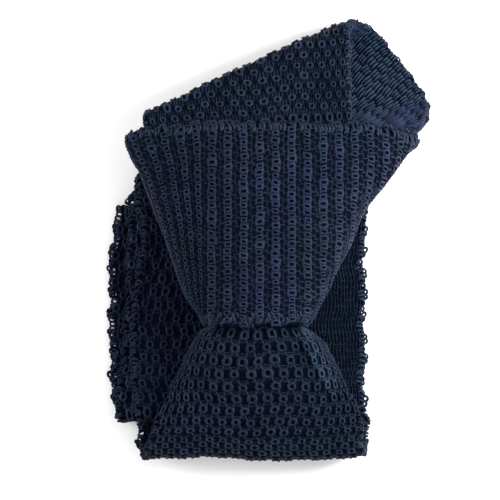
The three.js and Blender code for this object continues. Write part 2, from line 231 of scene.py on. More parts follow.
def densify(grid, times):
    flat = grid.reshape(len(grid), -1)
    places = np.linspace(0, len(grid) - 1, (len(grid) - 1) * times + 1)
    return smooth_rows(flat, places).reshape(-1, *grid.shape[1:])


SHARES = np.linspace(0, 1, 65)
GATHER = 0.38  # how far the cloth draws in at both sides of the knot's foot


def line_rows(left, right, y, z):
    n = len(left)
    return (np.column_stack([left, y, z]), np.column_stack([right, y, z]),
            np.zeros(n), np.full(n, 30.0))


def turn_rows(centre_y, centre_z, radius, side, start, end, edges_from, edges_to, steps):
    share = np.linspace(0, 1, steps + 1)
    angle = np.radians(start + (end - start) * share)
    y = centre_y + side * radius * np.cos(angle)
    z = centre_z + radius * np.sin(angle)
    left = (edges_from[0] + (edges_to[0] - edges_from[0]) * share) * BLADE
    right = (edges_from[1] + (edges_to[1] - edges_from[1]) * share) * BLADE
    return line_rows(left, right, y, z)


def lap_rows(table, height, samples):
    rows = smooth_rows(table, np.linspace(0, len(table) - 1, samples + 1)) * BLADE
    return line_rows(rows[:, 1], rows[:, 2], rows[:, 0], np.full(len(rows), height))


def blade_cloth():
    level = lambda number: HALF + number * LAP_RISE
    foot = STACK + FIT + HALF
    rows = smooth_rows(FRONT_LAP, np.linspace(0, len(FRONT_LAP) - 1, 43))
    y, z = KNOT_FOOT_Y + (ROLL_Y - KNOT_FOOT_Y) * rows[:, 0], np.full(len(rows), foot)
    front = (np.column_stack([rows[:, 1] * BLADE, y, z]), np.column_stack([rows[:, 2] * BLADE, y, z]),
             rows[:, 3] * BLADE, rows[:, 4])
    roll_top = foot + FRONT_LAP[-1, 3] * BLADE * 0.6
    edges = (-0.572, 0.432)
    lower = turn_rows(ROLL_Y, roll_top - LOWER_ROLL, LOWER_ROLL, -1, 80, -75,
                      FRONT_LAP[-1, 1:3], edges, 24)
    inner_y = -0.783 * BLADE + FOLD + HALF
    climb = turn_rows(inner_y, level(0.5), FOLD + LAP_RISE, -1, 36, 90, edges, UPPER_LAP[0, 1:], 8)
    upper_y = 0.296 * BLADE - FOLD - HALF
    parts = [
        front, lower, climb,
        [a[1:-1] for a in lap_rows(UPPER_LAP, level(2), 40)],
        turn_rows(upper_y, level(1.5), FOLD, 1, 90, -90, UPPER_LAP[-1, 1:], MIDDLE_LAP[0, 1:], 12),
        [a[1:-1] for a in lap_rows(MIDDLE_LAP, level(1), 40)],
        turn_rows(inner_y, level(0.5), FOLD, -1, 90, -90, MIDDLE_LAP[-1, 1:], LOWER_LAP[0, 1:], 12),
        [a[1:] for a in lap_rows(LOWER_LAP, level(0), 40)],
    ]
    left, right, arch, curl = (np.concatenate([p[k] for p in parts]) for k in range(4))
    gather = np.zeros(len(left))
    gather[:len(y)] = GATHER * (1 - ease((KNOT_FOOT_Y - y - 8) / 18))
    from_middle = SHARES - 0.5
    shares = SHARES + gather[:, None] * from_middle * (1 - 4 * from_middle**2)
    grid = across_rows(left, right, arch, curl, shares)
    tucked = tuck(grid)
    grid = np.where((grid[..., 2] > KNOT_BACK)[..., None], tucked, grid)
    middle = run_lengths(grid)[:, len(SHARES) // 2]
    starts = middle[np.cumsum([0] + [len(p[0]) for p in parts[:-1]])]
    return Cloth(grid, np.repeat(middle[:, None], len(SHARES), axis=1), BLADE), starts


def neck_cloth():
    def rows_of(table):
        left = np.column_stack([table[:, 0] * BLADE, table[:, 1] * BLADE, table[:, 4] * KNOT_DEPTH])
        right = np.column_stack([table[:, 2] * BLADE, table[:, 3] * BLADE, table[:, 5] * KNOT_DEPTH])
        return left, right, table[:, 6] * KNOT_DEPTH

    left_at = np.array([-0.545 * BLADE, 0.489 * BLADE, 0.955 * KNOT_DEPTH])
    right_at = np.array([0.342 * BLADE, 0.861 * BLADE, ROLL_LOW + HALF])
    crease = (right_at - left_at) * [1, 1, 0]
    crease /= np.linalg.norm(crease)
    outward = np.array([-crease[1], crease[0], 0])

    def turned(at, radius, drift, start, share):
        angle = np.radians(start + (180 - start) * share)[:, None]
        return (at + crease * drift * BLADE * angle / math.pi
                + outward * radius * np.sin(angle) + np.array([0, 0, 1]) * radius * np.cos(angle))

    share = np.linspace(0, 1, 9)
    roll_left = turned(left_at, ROLL_HIGH, 0.05, 5, share)
    roll_right = turned(right_at, ROLL_LOW, 0.13, 35, share)
    front_left, front_right, front_arch = rows_of(NECK_FRONT)
    back_left, back_right, back_arch = rows_of(NECK_BACK)

    def between(a, b, steps):
        t = np.linspace(0, 1, steps + 1)[1:-1, None]
        return a + (b - a) * t

    left = np.vstack([front_left[:1], between(front_left[0], front_left[1], 2), front_left[1:],
                      between(front_left[1], roll_left[0], 4), roll_left, back_left])
    right = np.vstack([front_right[:1], between(front_right[0], front_right[1], 2), front_right[1:],
                       between(front_right[1], roll_right[0], 4), roll_right, back_right])
    arch = np.concatenate([[front_arch[0]] * 2, front_arch[1:], front_arch[1] * np.array([0.75, 0.5, 0.25]),
                           np.zeros(9), back_arch])
    grid = across_rows(left, right, arch, np.full(len(left), 60.0), SHARES)
    grid = tuck(densify(grid, 8))
    run = run_lengths(grid)
    mouth = 2 * 8
    start = run[mouth].copy()
    run = run - start[None] + start.max()
    return Cloth(grid, run, NECK, step=0.4)


KNOT_REF_X = -6.45


def knot_cloth():
    """The wrap: rows go round it, from the left side over the face to the right and round the back."""
    downs = np.linspace(0, 1, 57)
    turns = np.linspace(0, 2 * math.pi, 721)
    left_share, right_share = np.linspace(1, 0, 61), np.linspace(0, 1, 181)[1:]
    grid = np.zeros((len(left_share) + len(right_share), len(downs), 3))
    lengths = []
    for d in downs:
        middle, wide, deep, bow = (float(v[0]) for v in knot_section(d))
        c, s = np.cos(math.pi - turns), np.sin(math.pi - turns)
        p = 2 / POWER
        x = middle + np.sign(c) * (wide - HALF) * np.abs(c) ** p
        y = KNOT_TOP_Y - d * KNOT_LENGTH + bow * s
        z = KNOT_BACK + deep + np.sign(s) * (deep - HALF) * np.abs(s) ** p
        pts = np.column_stack([x, y, z])
        run = np.concatenate([[0], np.cumsum(np.linalg.norm(np.diff(pts, axis=0), axis=1))])
        half = len(turns) // 2
        ref = np.interp(KNOT_REF_X, x[:half + 1], run[:half + 1])
        lengths.append((pts, run, ref, run[-1] - ref))
    left_top, right_top = lengths[0][2], lengths[0][3]
    steady = 9.0
    for c, (pts, run, left_len, right_len) in enumerate(lengths):
        a = left_share * left_top
        squeeze = (left_len - steady) / (left_top - steady)
        dl = np.where(a < steady, a, steady + (a - steady) * squeeze)
        b, room = right_share * right_top, right_len - (1 - right_share) * 22.0
        soft = 1.2
        dr = -soft * np.log(np.exp(-b / soft) + np.exp(-room / soft))
        dr = np.clip(dr, 0, right_len) if right_len < right_top - 0.01 else b
        dr[-1] = right_len
        s = np.maximum.accumulate(np.concatenate([left_len - dl, left_len + dr]))
        for k in range(3):
            grid[:, c, k] = np.interp(s, run, pts[:, k])
    places = np.concatenate([left_top - left_share * left_top, left_top + right_share * right_top])
    return Cloth(grid, np.repeat(places[:, None], len(downs), axis=1), KNOT_LENGTH + 1.5), left_top


def core_body(rows=45, around=84):
    """The knot's inner turns: a wound body inside the wrap, with a shallow groove between turns."""
    top = 0.165
    foot = (KNOT_TOP_Y - (KNOT_FOOT_Y + (ROLL_Y - KNOT_FOOT_Y) * FRONT_LAP[0, 0] + 2 * FIT)) / KNOT_LENGTH
    downs = top + (foot - top) * np.linspace(0, 1, rows)
    middle, wide, deep, bow = (v[:, None] for v in knot_section(downs))
    angle = np.linspace(0, 2 * math.pi, around, endpoint=False)[None]
    end = np.minimum(np.arange(rows), np.arange(rows)[::-1])[:, None] / 4
    groove = 0.3 * np.abs(np.sin(downs[:, None] * 22 + 0.5 * np.sin(angle)))
    inset = CLOTH + FIT + groove + HALF * (1 - np.sqrt(1 - (1 - np.clip(end, 0, 1)) ** 2))
    c, s = np.cos(angle), np.sin(angle)
    x = middle + np.sign(c) * (wide - inset) * np.abs(c) ** (2 / POWER)
    z = KNOT_BACK + deep + np.sign(s) * (deep - inset) * np.abs(s) ** (2 / POWER)
    y = KNOT_TOP_Y - downs[:, None] * KNOT_LENGTH + bow * s
    verts = np.stack([x, y, z], axis=2)
    ends = verts[[0, -1]].mean(axis=1)
    index = np.arange(rows * around).reshape(rows, around)
    turned = np.roll(index, -1, axis=1)
    sides = np.stack([index[:-1], index[1:], turned[1:], turned[:-1]], axis=2).reshape(-1, 4)
    first, last = rows * around, rows * around + 1
    caps = [np.column_stack([np.full(around // 2, tip), ring[:-2:2] if flip else ring[2::2], ring[1:-1:2],
                             ring[2::2] if flip else ring[:-2:2]])
            for tip, ring, flip in ((first, np.append(index[0], index[0, 0]), True),
                                    (last, np.append(index[-1], index[-1, 0]), False))]
    return np.vstack([verts.reshape(-1, 3), ends]), np.vstack([sides, *caps])


def tail_cloth():
    share = np.linspace(0, 1, 25)
    y = KNOT_TOP_Y - KNOT_LENGTH - FIT
    y = y + (-0.72 * BLADE - y) * share
    half = TAIL * (0.3 + 0.2 * ease(share * 3))
    z = np.full(len(share), STACK + FIT + HALF)
    grid = across_rows(*line_rows(-0.045 * BLADE - half, -0.045 * BLADE + half, y, z), SHARES)
    run = run_lengths(grid)
    return Cloth(grid, run, TAIL)


def tube(path, radius, sides, closed=False):
    """Local vertices and quads of a tube along a path of points."""
    path = np.asarray(path, float)
    n = len(path)
    if closed:
        tangent = np.roll(path, -1, 0) - np.roll(path, 1, 0)
    else:
        tangent = np.gradient(path, axis=0)
    tangent /= np.linalg.norm(tangent, axis=1, keepdims=True)
    up = np.tile([0.0, 0.0, 1.0], (n, 1))
    side = np.cross(tangent, up)
    weak = np.linalg.norm(side, axis=1) < 0.2
    side[weak] = np.cross(tangent[weak], [0, 1.0, 0])
    side /= np.linalg.norm(side, axis=1, keepdims=True)
    top = np.cross(side, tangent)
    radius = np.broadcast_to(radius, (n,))
    verts = []
    for k in range(sides):
        a = 2 * math.pi * k / sides
        verts.append(path + (side * math.cos(a) + top * math.sin(a)) * radius[:, None])
    verts = np.stack(verts, 1).reshape(-1, 3)
    faces = []
    for i in range(n if closed else n - 1):
        j = (i + 1) % n
        for k in range(sides):
            m = (k + 1) % sides
            faces.append([i * sides + k, i * sides + m, j * sides + m, j * sides + k])
    return verts, np.array(faces)


def joined(parts):
    verts, faces, base = [], [], 0
    for v, f in parts:
        verts.append(v)
        faces.append(f + base)
        base += len(v)
    return np.vstack(verts), np.vstack(faces)


def ring_path(wide, tall, points, lift, point=0.16):
    """Squarish ring whose foot runs down to a point."""
    a = np.linspace(0, 2 * math.pi, points, endpoint=False)
    c, s = np.cos(a), np.sin(a)
    x = wide * np.sign(c) * np.abs(c) ** 0.6
    y = tall * np.sign(s) * np.abs(s) ** 0.65 - point * np.maximum(-s, 0) ** 4
    return np.column_stack([x, y, lift + 0.07 * np.cos(2 * a)])


def ring_cell(across, along, fine, wide=0.74, tall=0.74, thick=0.38):
    """A raised ring of yarn, legs down to its two neighbours, and a pair of threads between the rows."""
    parts = [tube(ring_path(wide, tall, 14 if fine else 8, 1.0), thick, 6 if fine else 4, closed=True)]
    t = np.linspace(0, 1, 5 if fine else 3)
    for side in (-1, 1):
        x = side * (0.4 + t * (across * 0.5 - 0.85) + 0.12 * np.sin(math.pi * t))
        y = -tall + 0.1 - t * (along - 1.7 * tall + 0.1)
        parts.append(tube(np.column_stack([x, y, 0.93 - 0.08 * np.sin(math.pi * t)]), thick * 0.8, 5 if fine else 3))
    t = np.linspace(-1, 1, 7 if fine else 4)
    for side in (-1, 1):
        y = -along * 0.5 + side * (0.22 + 0.1 * np.cos(math.pi * t))
        parts.append(tube(np.column_stack([t * across * 0.52, y, 0.76 + 0.07 * np.cos(2 * math.pi * t)]),
                          thick * 0.65, 4))
    return joined(parts)


def comb_cell(across, along, fine):
    """A ring with upright threads close together between its row and the next."""
    parts = [tube(ring_path(0.62, 0.66, 14, 1.0), 0.31, 6 if fine else 4, closed=True)]
    t = np.linspace(0, 1, 5)
    for place in (-0.75, -0.28, 0.2, 0.68):
        x = across * 0.5 * place + 0.06 * np.sin(t * 5 + place * 9)
        y = 0.45 + t * (along - 0.5)
        z = 0.65 + 0.16 * np.sin(math.pi * t)
        parts.append(tube(np.column_stack([x, y, z]), 0.22, 4))
    return joined(parts)


def rib_cell(across, along, fine):
    """One step of a rib: a small ring of yarn between two threads that run down the rib."""
    parts = [tube(ring_path(0.52, 0.68, 10 if fine else 6, 1.0, 0.1), 0.25, 5 if fine else 4, closed=True)]
    t = np.linspace(-1, 1, 4 if fine else 3)
    for side in (-1, 1):
        x = t * across * 0.52
        y = side * (0.86 - 0.2 * t**2)
        parts.append(tube(np.column_stack([x, y, 0.94 - 0.08 * (1 - t**2)]), 0.23, 4 if fine else 3))
    return joined(parts)


def link_cell(across, along, lift, thick):
    """Threads between two ribs: a short link on each side of a ring, and one thread down the gap."""
    t = np.linspace(0, 1, 4)
    parts = []
    for side in (-1, 1):
        y = side * (0.8 + t * (along * 0.5 - 0.7))
        path = np.column_stack([0.1 * side * np.sin(math.pi * t), y, lift + 0.1 * (1 - t)])
        parts.append(tube(path, thick, 4))
    t = np.linspace(-1, 1, 4)
    y = along * 0.5 + 0.2 * np.sin(math.pi * t)
    parts.append(tube(np.column_stack([t * across * 0.5, y, lift - 0.05 + 0.1 * t**2]), thick, 4))
    return joined(parts)


def ladder_cell(across, along, lift):
    """Two threads along a wale with a rung over them."""
    t = np.linspace(-1, 1, 4)
    parts = []
    for side in (-1, 1):
        x = side * 0.27 * across + 0.05 * np.sin(math.pi * t)
        parts.append(tube(np.column_stack([x, t * along * 0.5, lift + 0.06 * np.cos(math.pi * t)]), 0.21, 4))
    parts.append(tube(np.column_stack([t * across * 0.5, 0.1 * t, lift + 0.05 - 0.25 * t**2]), 0.2, 4))
    return joined(parts)


def bar_cell(across, along, thick=0.34, top=1.12, slant=0.22):
    """The cloth's reverse: short threads side by side across a wale, sinking at both ends."""
    t = np.linspace(-1, 1, 6)
    parts = []
    for shift in (-0.33, 0.0, 0.33):
        x = t * across * 0.5
        y = shift * along + slant * t
        parts.append(tube(np.column_stack([x, y, top - 0.75 * t**4]), thick, 5))
    return joined(parts)


def loop_cell(out, reach, thick=0.33):
    """Two small open loops of yarn side by side at an edge; out is -1 or 1, away from the cloth."""
    a = np.linspace(0, 2 * math.pi, 9, endpoint=False)
    loops = []
    for side in (-1, 1):
        x = out * (reach - thick - 0.54 + 0.12 * side) + 0.54 * np.cos(a)
        loops.append(tube(np.column_stack([x, 0.52 * side + 0.52 * np.sin(a), 0.2 * np.sin(a)]), thick, 5, True))
    return joined(loops)


def wrap_cell(out, thick=0.4):
    """Yarn wrapped over an edge, from the face round to the back."""
    a = np.radians(np.linspace(-125, 125, 8))
    x = out * (-0.95 + 0.9 * np.cos(a))
    z = 1.0 * np.sin(a)
    y = 0.6 * np.sin(a)
    return tube(np.column_stack([x, y, z]), thick, 5)


def soften(points):
    """Slight unevenness of the whole bundle, the same for every piece."""
    x, y, z = points.T
    calm = 1 - 0.8 * np.clip((z - 12) / 4, 0, 1)
    dx = calm * (0.28 * np.sin(y * 0.42 + 0.9 * np.sin(x * 0.11)) + 0.16 * np.sin(y * 0.9 + z * 0.3 + 1.3))
    dy = 0.22 * np.sin(x * 0.33 + 0.8 * np.sin(y * 0.13) + 0.5) + 0.12 * np.sin(x * 0.8 + 2.1)
    dy = dy - 0.85 * np.exp(-((x - 3.5) / 8) ** 2) * ease((-y - 43) / 7)
    dy = dy - 1.1 * ease((-x - 27) / 5) * ease((-y - 37) / 5)
    dy = dy - 1.0 * np.exp(-((x - 19.5) / 4) ** 2) * ease((y - 47) / 4)
    dz = 0.14 * np.sin(x * 0.21 + 1.0) * np.sin(y * 0.27) * np.clip(z / 8, 0, 1)
    ridge = np.exp(-((x - 6.6 + (y + 20.3) * 0.46) / 1.8) ** 2) * ease((-y - 20.5) / 4) * ease((y + 39) / 6)
    dz = dz + 1.3 * ridge * ease((z - 9) / 3)
    return points + np.column_stack([dx, dy, dz])


def new_object(name, verts, faces, material, tone_and_painted_shade=None):
    mesh = bpy.data.meshes.new(name)
    verts = (soften(verts) - CENTRE) * MM
    mesh.vertices.add(len(verts))
    mesh.vertices.foreach_set("co", verts.astype(np.float32).ravel())
    mesh.loops.add(faces.size)
    mesh.loops.foreach_set("vertex_index", faces.astype(np.int32).ravel())
    mesh.polygons.add(len(faces))
    mesh.polygons.foreach_set("loop_start", np.arange(len(faces), dtype=np.int32) * faces.shape[1])
    mesh.polygons.foreach_set("use_smooth", np.ones(len(faces), bool))
    if tone_and_painted_shade is not None:
        layer = mesh.attributes.new("tone_and_painted_shade", "FLOAT", "POINT")
        layer.data.foreach_set("value", tone_and_painted_shade.astype(np.float32))
    mesh.update(calc_edges=True)
    mesh.validate()
    obj = bpy.data.objects.new(name, mesh)
    bpy.context.collection.objects.link(obj)
    mesh.materials.append(material)
    return obj


def spread_cells(cloth, cell, shares, runs, side, skew=0.1, vary=0.06, stretch=None, shade=0.0):
    """Lays a cell at each place, turned and sized a little at random."""
    verts, faces = cell
    count = len(shares)
    jitter = rng.normal(0, 1, (count, 5)).clip(-2, 2)
    turn = jitter[:, 0] * skew * 0.6
    c, s = np.cos(turn)[:, None], np.sin(turn)[:, None]
    size = (1 + vary * jitter[:, 1])[:, None]
    x = (verts[None, :, 0] * c - verts[None, :, 1] * s) * size + jitter[:, 2:3] * 0.07
    y = (verts[None, :, 0] * s + verts[None, :, 1] * c) * size + jitter[:, 3:4] * 0.07
    if stretch is not None:
        y = y * stretch[:, None]
    z = np.broadcast_to(verts[None, :, 2], x.shape) + jitter[:, 4:5] * 0.04
    along = np.clip(runs[:, None] + y, -0.4, cloth.length + 0.4)
    points = cloth.at(shares[:, None] + x / cloth.width, along, side * z)
    good = ~np.isnan(points).any(axis=(1, 2))
    points = points[good]
    kept = len(points)
    faces = faces[None] + (np.arange(kept) * len(verts))[:, None, None]
    if side < 0:
        faces = faces[..., ::-1]
    # Painted shade: half of each vertex's tone is random variation between stitches, and half darkens the low parts of
    # a cell where shade falls.
    proud = ease((verts[:, 2] - 0.75) / 0.5)
    # shade darkens a whole cell as painted shade; a value below zero paints a highlight instead.
    bright = 1 - np.broadcast_to(shade, good.shape)[good][:, None]
    tone_and_painted_shade = (bright * (0.5 * rng.uniform(0, 1, kept)[:, None] + 0.5 * proud[None])).ravel()
    return points.reshape(-1, 3), faces.reshape(-1, 4), tone_and_painted_shade


def lattice(wales, rows, odd=0):
    """Shares and runs of staggered cells in the given rows."""
    places = [((j + (0.0 if (i + odd) % 2 else 0.5)) / wales, run)
              for i, run in enumerate(rows) for j in range(wales + (i + odd) % 2)]
    places = np.array([p for p in places if 0.012 <= p[0] <= 0.988])
    return places[:, 0], places[:, 1]


def merge(batches):
    verts, faces, tones_and_painted_shade, base = [], [], [], 0
    for v, f, t in batches:
        if len(v) == 0:
            continue
        verts.append(v)
        faces.append(f + base)
        tones_and_painted_shade.append(t)
        base += len(v)
    return np.vstack(verts), np.vstack(faces), np.concatenate(tones_and_painted_shade)


def ground_mesh(cloth, half, row_skip=2, col_skip=2, ring=False, inset=(0.0, 0.0)):
    """Closed slab round the cloth's middle surface, drawn in by an inset at each edge."""
    share = np.linspace(inset[0] / cloth.width, 1 - inset[1] / cloth.width, cloth.points.shape[1])
    place = share * (cloth.points.shape[1] - 1)
    first = np.minimum(place.astype(int), cloth.points.shape[1] - 2)
    part = (place - first)[None, :, None]
    pts = cloth.points[:, first] * (1 - part) + cloth.points[:, first + 1] * part
    nrm = cloth.normals[:, first] * (1 - part) + cloth.normals[:, first + 1] * part
    good_rows = ~np.isnan(pts[..., 0])
    rows = list(range(0, len(pts), row_skip))
    if rows[-1] != len(pts) - 1:
        rows.append(len(pts) - 1)
    cols = list(range(0, pts.shape[1], col_skip))
    grid = np.zeros((len(rows), len(cols), 3))
    normal = np.zeros_like(grid)
    for cj, c in enumerate(cols):
        valid = np.where(good_rows[:, c])[0]
        places = np.linspace(valid[0], valid[-1], len(rows))
        i = np.minimum(places.astype(int), valid[-1] - 1)
        f = (places - i)[:, None]
        grid[:, cj] = pts[i, c] * (1 - f) + pts[i + 1, c] * f
        normal[:, cj] = nrm[i, c] * (1 - f) + nrm[i + 1, c] * f
    normal /= np.linalg.norm(normal, axis=2, keepdims=True) + 1e-12
    edge = np.ones(len(cols))
    edge[[0, -1]] = 0.25
    top = grid + normal * half * edge[None, :, None]
    low = grid - normal * half * edge[None, :, None]
    loops = np.concatenate([top, low[:, ::-1]], axis=1)
    r, n = loops.shape[:2]
    verts = loops.reshape(-1, 3)
    faces = []
    idx = np.arange(r * n).reshape(r, n)
    bands = r if ring else r - 1
    for i in range(bands):
        a, b = idx[i], idx[(i + 1) % r]
        faces.append(np.column_stack([a, np.roll(a, -1), np.roll(b, -1), b]))
    if not ring:
        m = len(cols)
        for row, flip in ((idx[0], False), (idx[-1], True)):
            t, l = row[:m], row[m:][::-1]
            cap = np.column_stack([t[:-1], l[:-1], l[1:], t[1:]])
            faces.append(cap[:, ::-1] if flip else cap)
    faces = np.vstack(faces)
    a, b, c, d = (verts[faces[:, k]] for k in range(4))
    volume = (np.einsum("ij,ij->i", a, np.cross(b, c)) + np.einsum("ij,ij->i", a, np.cross(c, d))).sum()
    if volume < 0:
        faces = faces[:, ::-1]
    flat = 0.5 * (np.linalg.norm(np.cross(grid[1:, :-1] - grid[:-1, :-1], grid[:-1, 1:] - grid[:-1, :-1]), axis=2)
                  + np.linalg.norm(np.cross(grid[1:, 1:] - grid[1:, :-1], grid[1:, 1:] - grid[:-1, 1:]), axis=2)).sum()
    return verts, faces, flat


def noise_node(nodes, links, source, scale, detail=3.0, rough=0.55):
    n = nodes.new("ShaderNodeTexNoise")
    n.inputs["Scale"].default_value = scale
    n.inputs["Detail"].default_value = detail
    n.inputs["Roughness"].default_value = rough
    links.new(source, n.inputs["Vector"])
    return n


def yarn_material(name, dark, light, rough, sheen, bump, glint):
    mat = bpy.data.materials.new(name)
    mat.use_nodes = True
    nodes, links = mat.node_tree.nodes, mat.node_tree.links
    nodes.clear()
    out = nodes.new("ShaderNodeOutputMaterial")
    shade = nodes.new("ShaderNodeBsdfPrincipled")
    links.new(shade.outputs[0], out.inputs[0])
    shade.inputs["Roughness"].default_value = rough
    shade.inputs["Specular IOR Level"].default_value = glint
    shade.inputs["Sheen Weight"].default_value = sheen
    shade.inputs["Sheen Roughness"].default_value = 0.4
    shade.inputs["Sheen Tint"].default_value = (0.5, 0.6, 0.9, 1)
    coord = nodes.new("ShaderNodeTexCoord")
    where = coord.outputs["Object"]
    # The tone attribute carries random variation between stitches and painted shade, and picks the colour from dark to
    # light.
    tone_and_painted_shade = nodes.new("ShaderNodeAttribute")
    tone_and_painted_shade.attribute_name = "tone_and_painted_shade"
    fine = noise_node(nodes, links, where, 2600.0, 2.0)
    broad = noise_node(nodes, links, where, 90.0, 2.0)
    add = nodes.new("ShaderNodeMath")
    add.operation = "MULTIPLY_ADD"
    add.inputs[1].default_value = 0.55
    links.new(tone_and_painted_shade.outputs["Fac"], add.inputs[0])
    links.new(fine.outputs["Fac"], add.inputs[2])
    ramp = nodes.new("ShaderNodeValToRGB")
    ramp.color_ramp.elements[0].position = 0.52
    ramp.color_ramp.elements[0].color = (*dark, 1)
    ramp.color_ramp.elements[1].position = 1.0
    ramp.color_ramp.elements[1].color = (*light, 1)
    links.new(add.outputs[0], ramp.inputs[0])
    mixer = nodes.new("ShaderNodeMix")
    mixer.data_type = "RGBA"
    mixer.blend_type = "MULTIPLY"
    mixer.inputs["Factor"].default_value = 0.35
    links.new(ramp.outputs[0], mixer.inputs["A"])
    links.new(broad.outputs["Color"], mixer.inputs["B"])
    drift = noise_node(nodes, links, where, 45.0, 1.0)
    hues = nodes.new("ShaderNodeValToRGB")
    hues.color_ramp.elements[0].position = 0.35
    hues.color_ramp.elements[0].color = (1.25, 0.98, 1.1, 1)
    hues.color_ramp.elements[1].position = 0.65
    hues.color_ramp.elements[1].color = (0.85, 1.06, 1.0, 1)
    links.new(drift.outputs["Fac"], hues.inputs[0])
    tint = nodes.new("ShaderNodeMix")
    tint.data_type = "RGBA"
    tint.blend_type = "MULTIPLY"
    tint.inputs["Factor"].default_value = 1.0
    links.new(mixer.outputs["Result"], tint.inputs["A"])
    links.new(hues.outputs["Color"], tint.inputs["B"])
    links.new(tint.outputs["Result"], shade.inputs["Base Color"])
    fibre = nodes.new("ShaderNodeTexWave")
    fibre.inputs["Scale"].default_value = 1500.0
    fibre.inputs["Distortion"].default_value = 6.0
    fibre.inputs["Detail"].default_value = 2.0
    fibre.bands_direction = "DIAGONAL"
    links.new(where, fibre.inputs["Vector"])
    bumper = nodes.new("ShaderNodeBump")
    bumper.inputs["Strength"].default_value = bump
    bumper.inputs["Distance"].default_value = 0.0001
    links.new(fibre.outputs["Fac"], bumper.inputs["Height"])
    links.new(bumper.outputs[0], shade.inputs["Normal"])
    return mat


yarn = yarn_material("knit_yarn", (0.0018, 0.0042, 0.013), (0.0142, 0.0258, 0.0545), 0.48, 0.02, 0.5, 0.09)
# The cloth's base under the stitches; its colour, much darker than the yarn, is painted shade in the gaps between
# stitches.
under = yarn_material("knit_ground_painted_shade", (0.002, 0.0042, 0.012), (0.003, 0.006, 0.016), 0.9, 0.0, 0.8, 0.02)
# A darker copy of the yarn: painted shade for the laps, the ladder, the links on the knot's left side, the tail and
# the core.
painted_shade_yarn = yarn_material("knit_painted_shade", (0.0016, 0.0032, 0.0092), (0.0108, 0.016, 0.033), 0.65, 0.01, 0.5, 0.04)
# A darker copy of the yarn for the blade's left edge: painted shade on the side away from the key light.
left_edge_painted_shade_yarn = yarn_material("knit_left_edge_painted_shade", (0.002, 0.0045, 0.013), (0.0115, 0.0195, 0.043), 0.55, 0.02, 0.5, 0.05)
reverse = yarn_material("knit_reverse", (0.004, 0.009, 0.024), (0.0165, 0.031, 0.063), 0.55, 0.03, 0.5, 0.06)


def put(name, batches, material):
    v, f, t = merge(batches)
    return new_object(name, v, f, material, t)


def edge_yarn(cloth, share, out, start, end, pitch, reach, thick=0.36, bare=(0, 0)):
    """Yarn along one edge: wraps close together, and open loops standing out at a wider pitch."""
    def along_edge(cell, runs, skew, vary):
        return spread_cells(cloth, cell, np.full(len(runs), float(share)), runs, 1, skew, vary)

    wraps = along_edge(wrap_cell(out, thick - 0.04), np.arange(start, end, 0.95), 0.6, 0.14)
    runs = np.arange(start + 1, end, pitch)
    runs = runs[(runs < bare[0]) | (runs > bare[1])]
    loops = along_edge(loop_cell(out, reach), runs + rng.uniform(-0.3, 0.3, len(runs)), 0.3, 0.1)
    return [wraps, loops]


def end_yarn(cloth, run, thick=0.42):
    """Wraps over the square end of the cloth."""
    verts, faces = wrap_cell(1, thick)
    verts = verts[:, [1, 0, 2]]
    shares = np.linspace(0.01, 0.99, int(cloth.width / 1.4))
    return spread_cells(cloth, (verts, faces[:, ::-1]), shares, np.full(len(shares), run), 1, 0.5, 0.14)


def side_threads():
    """Threads drawn together along the wrap's right side, from a third of the way down to the foot."""
    downs = np.linspace(0.27, 0.97, 60)
    middle, wide, deep, bow = knot_section(downs)
    batches = []
    for place, angle in enumerate((2, 10, 16, 20, 24, 28)):
        c, s = math.cos(math.radians(angle)), math.sin(math.radians(angle))
        lift = 0.75 - 0.3 * (angle > 24)
        wave = 0.14 * np.sin(downs * 60 + place * 1.9)
        x = middle + (wide - HALF + lift) * c ** (2 / POWER) + wave
        y = KNOT_TOP_Y - downs * KNOT_LENGTH + bow * s
        z = KNOT_BACK + deep + (deep - HALF + lift) * s ** (2 / POWER) + wave
        verts, faces = tube(np.column_stack([x, y, z]), 0.3, 5)
        batches.append((verts, faces, np.full(len(verts), rng.uniform(0.3, 1))))
    return batches


def declare(ground, node, pieces):
    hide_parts(node)
    for obj in [ground, *pieces]:
        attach(obj, "root")


# The blade: ground, rings on the face and back where they show, yarn along the edges
blade, marks = blade_cloth()
v, f, area = ground_mesh(blade, GROUND, 2, 2, inset=(1.3, 0.5))
blade_ground = new_object("blade_ground", v, f, under, np.zeros(len(v)))
PITCH_A, PITCH_L = 3.2, 3.15
WALES = 17
before = np.array([2.1, 2.5, 2.9, 3.0, 3.1] + [3.3] * 8)
after = np.array([1.2, 1.2, 1.6, 1.6, 1.8, 2.2, 2.6, 3.0])
roll_start, climb_start = marks[1], marks[2]
rows = roll_start + np.concatenate([-np.cumsum(before)[::-1], [0], np.cumsum(after)])
steps = np.concatenate([before[::-1], after, [3.15]])
keep = (rows > 7.0) & (rows < climb_start - 0.5)
rows, steps = rows[keep], steps[keep]
shares, runs = lattice(WALES, rows)
squash = (np.interp(runs, rows, steps) / PITCH_L).clip(0.5, 1.1)
# Painted shade over the blade's front stitches, and a painted highlight along the lit ridge on its right, where shade
# drops below zero.
shade = 0.5 - 0.7 * np.exp(-((shares - 0.78) / 0.07) ** 2) * (1 - ease((runs - 20) / 8))
blade_front = put("blade_front_stitches", [
    spread_cells(blade, ring_cell(PITCH_A, PITCH_L, True), shares, runs, -1, 0.12, 0.08, squash, shade)], yarn)
lap_rows_at = np.arange(climb_start + 1.0, blade.length - 1, PITCH_L)
shares, runs = lattice(WALES, lap_rows_at)
plain = ring_cell(PITCH_A, PITCH_L, False)
shown = (shares < 0.42) | (shares > 0.66) & (runs > marks[4])
LADDER_L = 1.55
ladder_shares, ladder_runs = lattice(2 * WALES, np.arange(climb_start + 1.0, blade.length - 1, LADDER_L))
right = (ladder_shares > 0.64) & (ladder_runs < marks[4])
